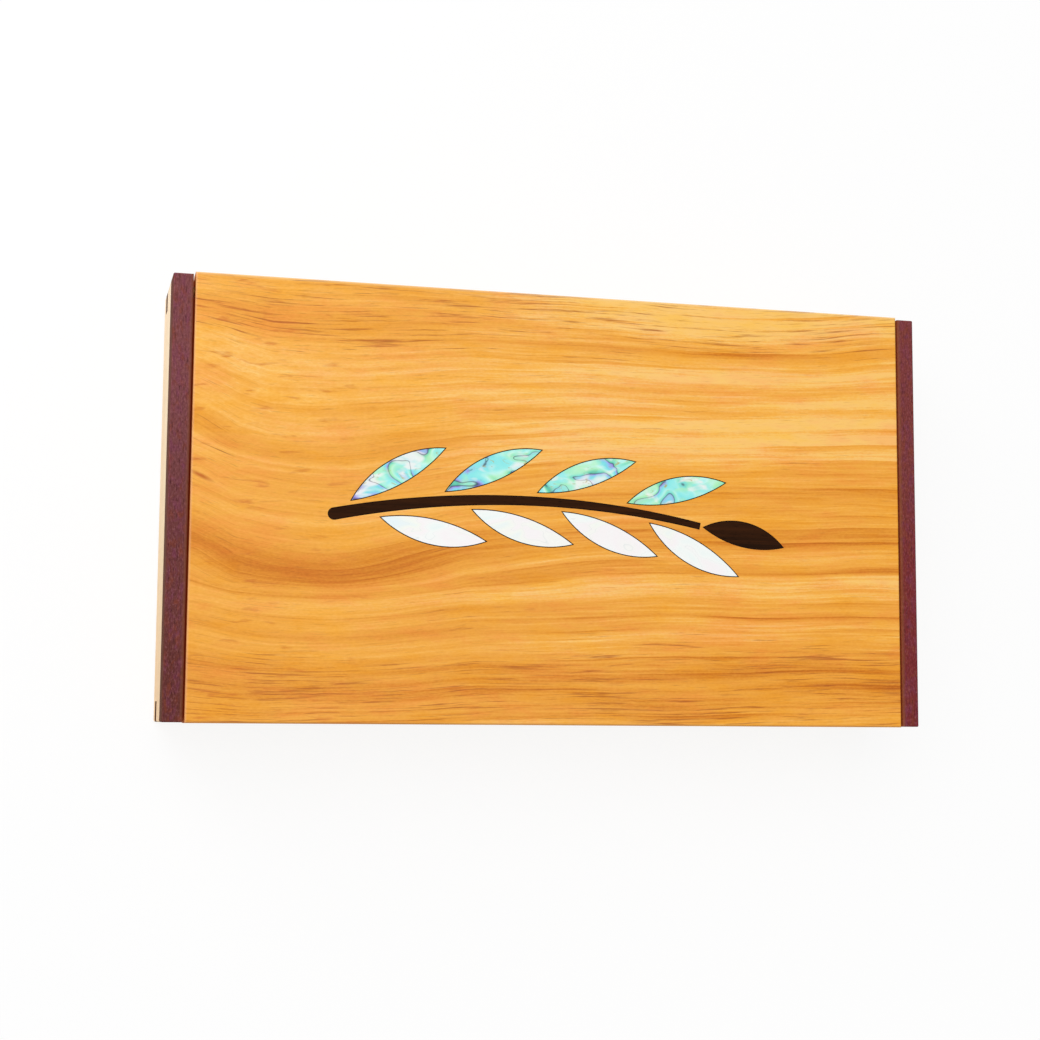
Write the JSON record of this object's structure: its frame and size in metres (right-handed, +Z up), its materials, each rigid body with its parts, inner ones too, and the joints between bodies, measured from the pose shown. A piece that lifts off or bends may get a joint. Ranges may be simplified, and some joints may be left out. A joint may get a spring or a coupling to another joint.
{
  "type": "trinket box",
  "caption": "Low rectangular wooden trinket box with a thick inlaid lid that hinges up between two dark end rails.",
  "frame": {"origin": "middle of the base, on the surface that the box stands on", "axes": "+X to the right along the length, +Y to the back where the lid hinges, +Z up"},
  "size_m": [0.24, 0.1339, 0.038],
  "materials": {
    "pale_wood": "satin oil",
    "floor_wood": "plain sanded",
    "lid_wood": "polished oil",
    "rail_wood": "satin oil",
    "inlay_wood": "satin oil",
    "blue_shell": "polished shell",
    "white_shell": "polished shell",
    "felt": "matt felt",
    "pin_brass": "drawn"
  },
  "bodies": {
    "box": {"front_wall": "pale_wood", "back_wall": "pale_wood", "left_end_wall": "pale_wood", "right_end_wall": "pale_wood", "floor_panel": "floor_wood", "felt_lining": "felt", "left_end_rail": "rail_wood", "right_end_rail": "rail_wood", "front_left_key": "rail_wood", "front_right_key": "rail_wood", "back_left_key": "rail_wood", "back_right_key": "rail_wood", "left_hinge_pin": "pin_brass", "right_hinge_pin": "pin_brass"},
    "lid": {"lid_board": "lid_wood", "dark_stem": "inlay_wood", "dark_end_leaf": "inlay_wood", "blue_shell_leaf_1": "blue_shell", "blue_shell_leaf_2": "blue_shell", "blue_shell_leaf_3": "blue_shell", "blue_shell_leaf_4": "blue_shell", "white_shell_leaf_1": "white_shell", "white_shell_leaf_2": "white_shell", "white_shell_leaf_3": "white_shell", "white_shell_leaf_4": "white_shell"}
  },
  "joints": [
    {"name": "lid_hinge", "type": "hinge", "parent": "box", "child": "lid", "pos_m": [0, 0.06195, 0.03275], "axis": [-1, 0, 0], "range_deg": [0, 100]}
  ]
}
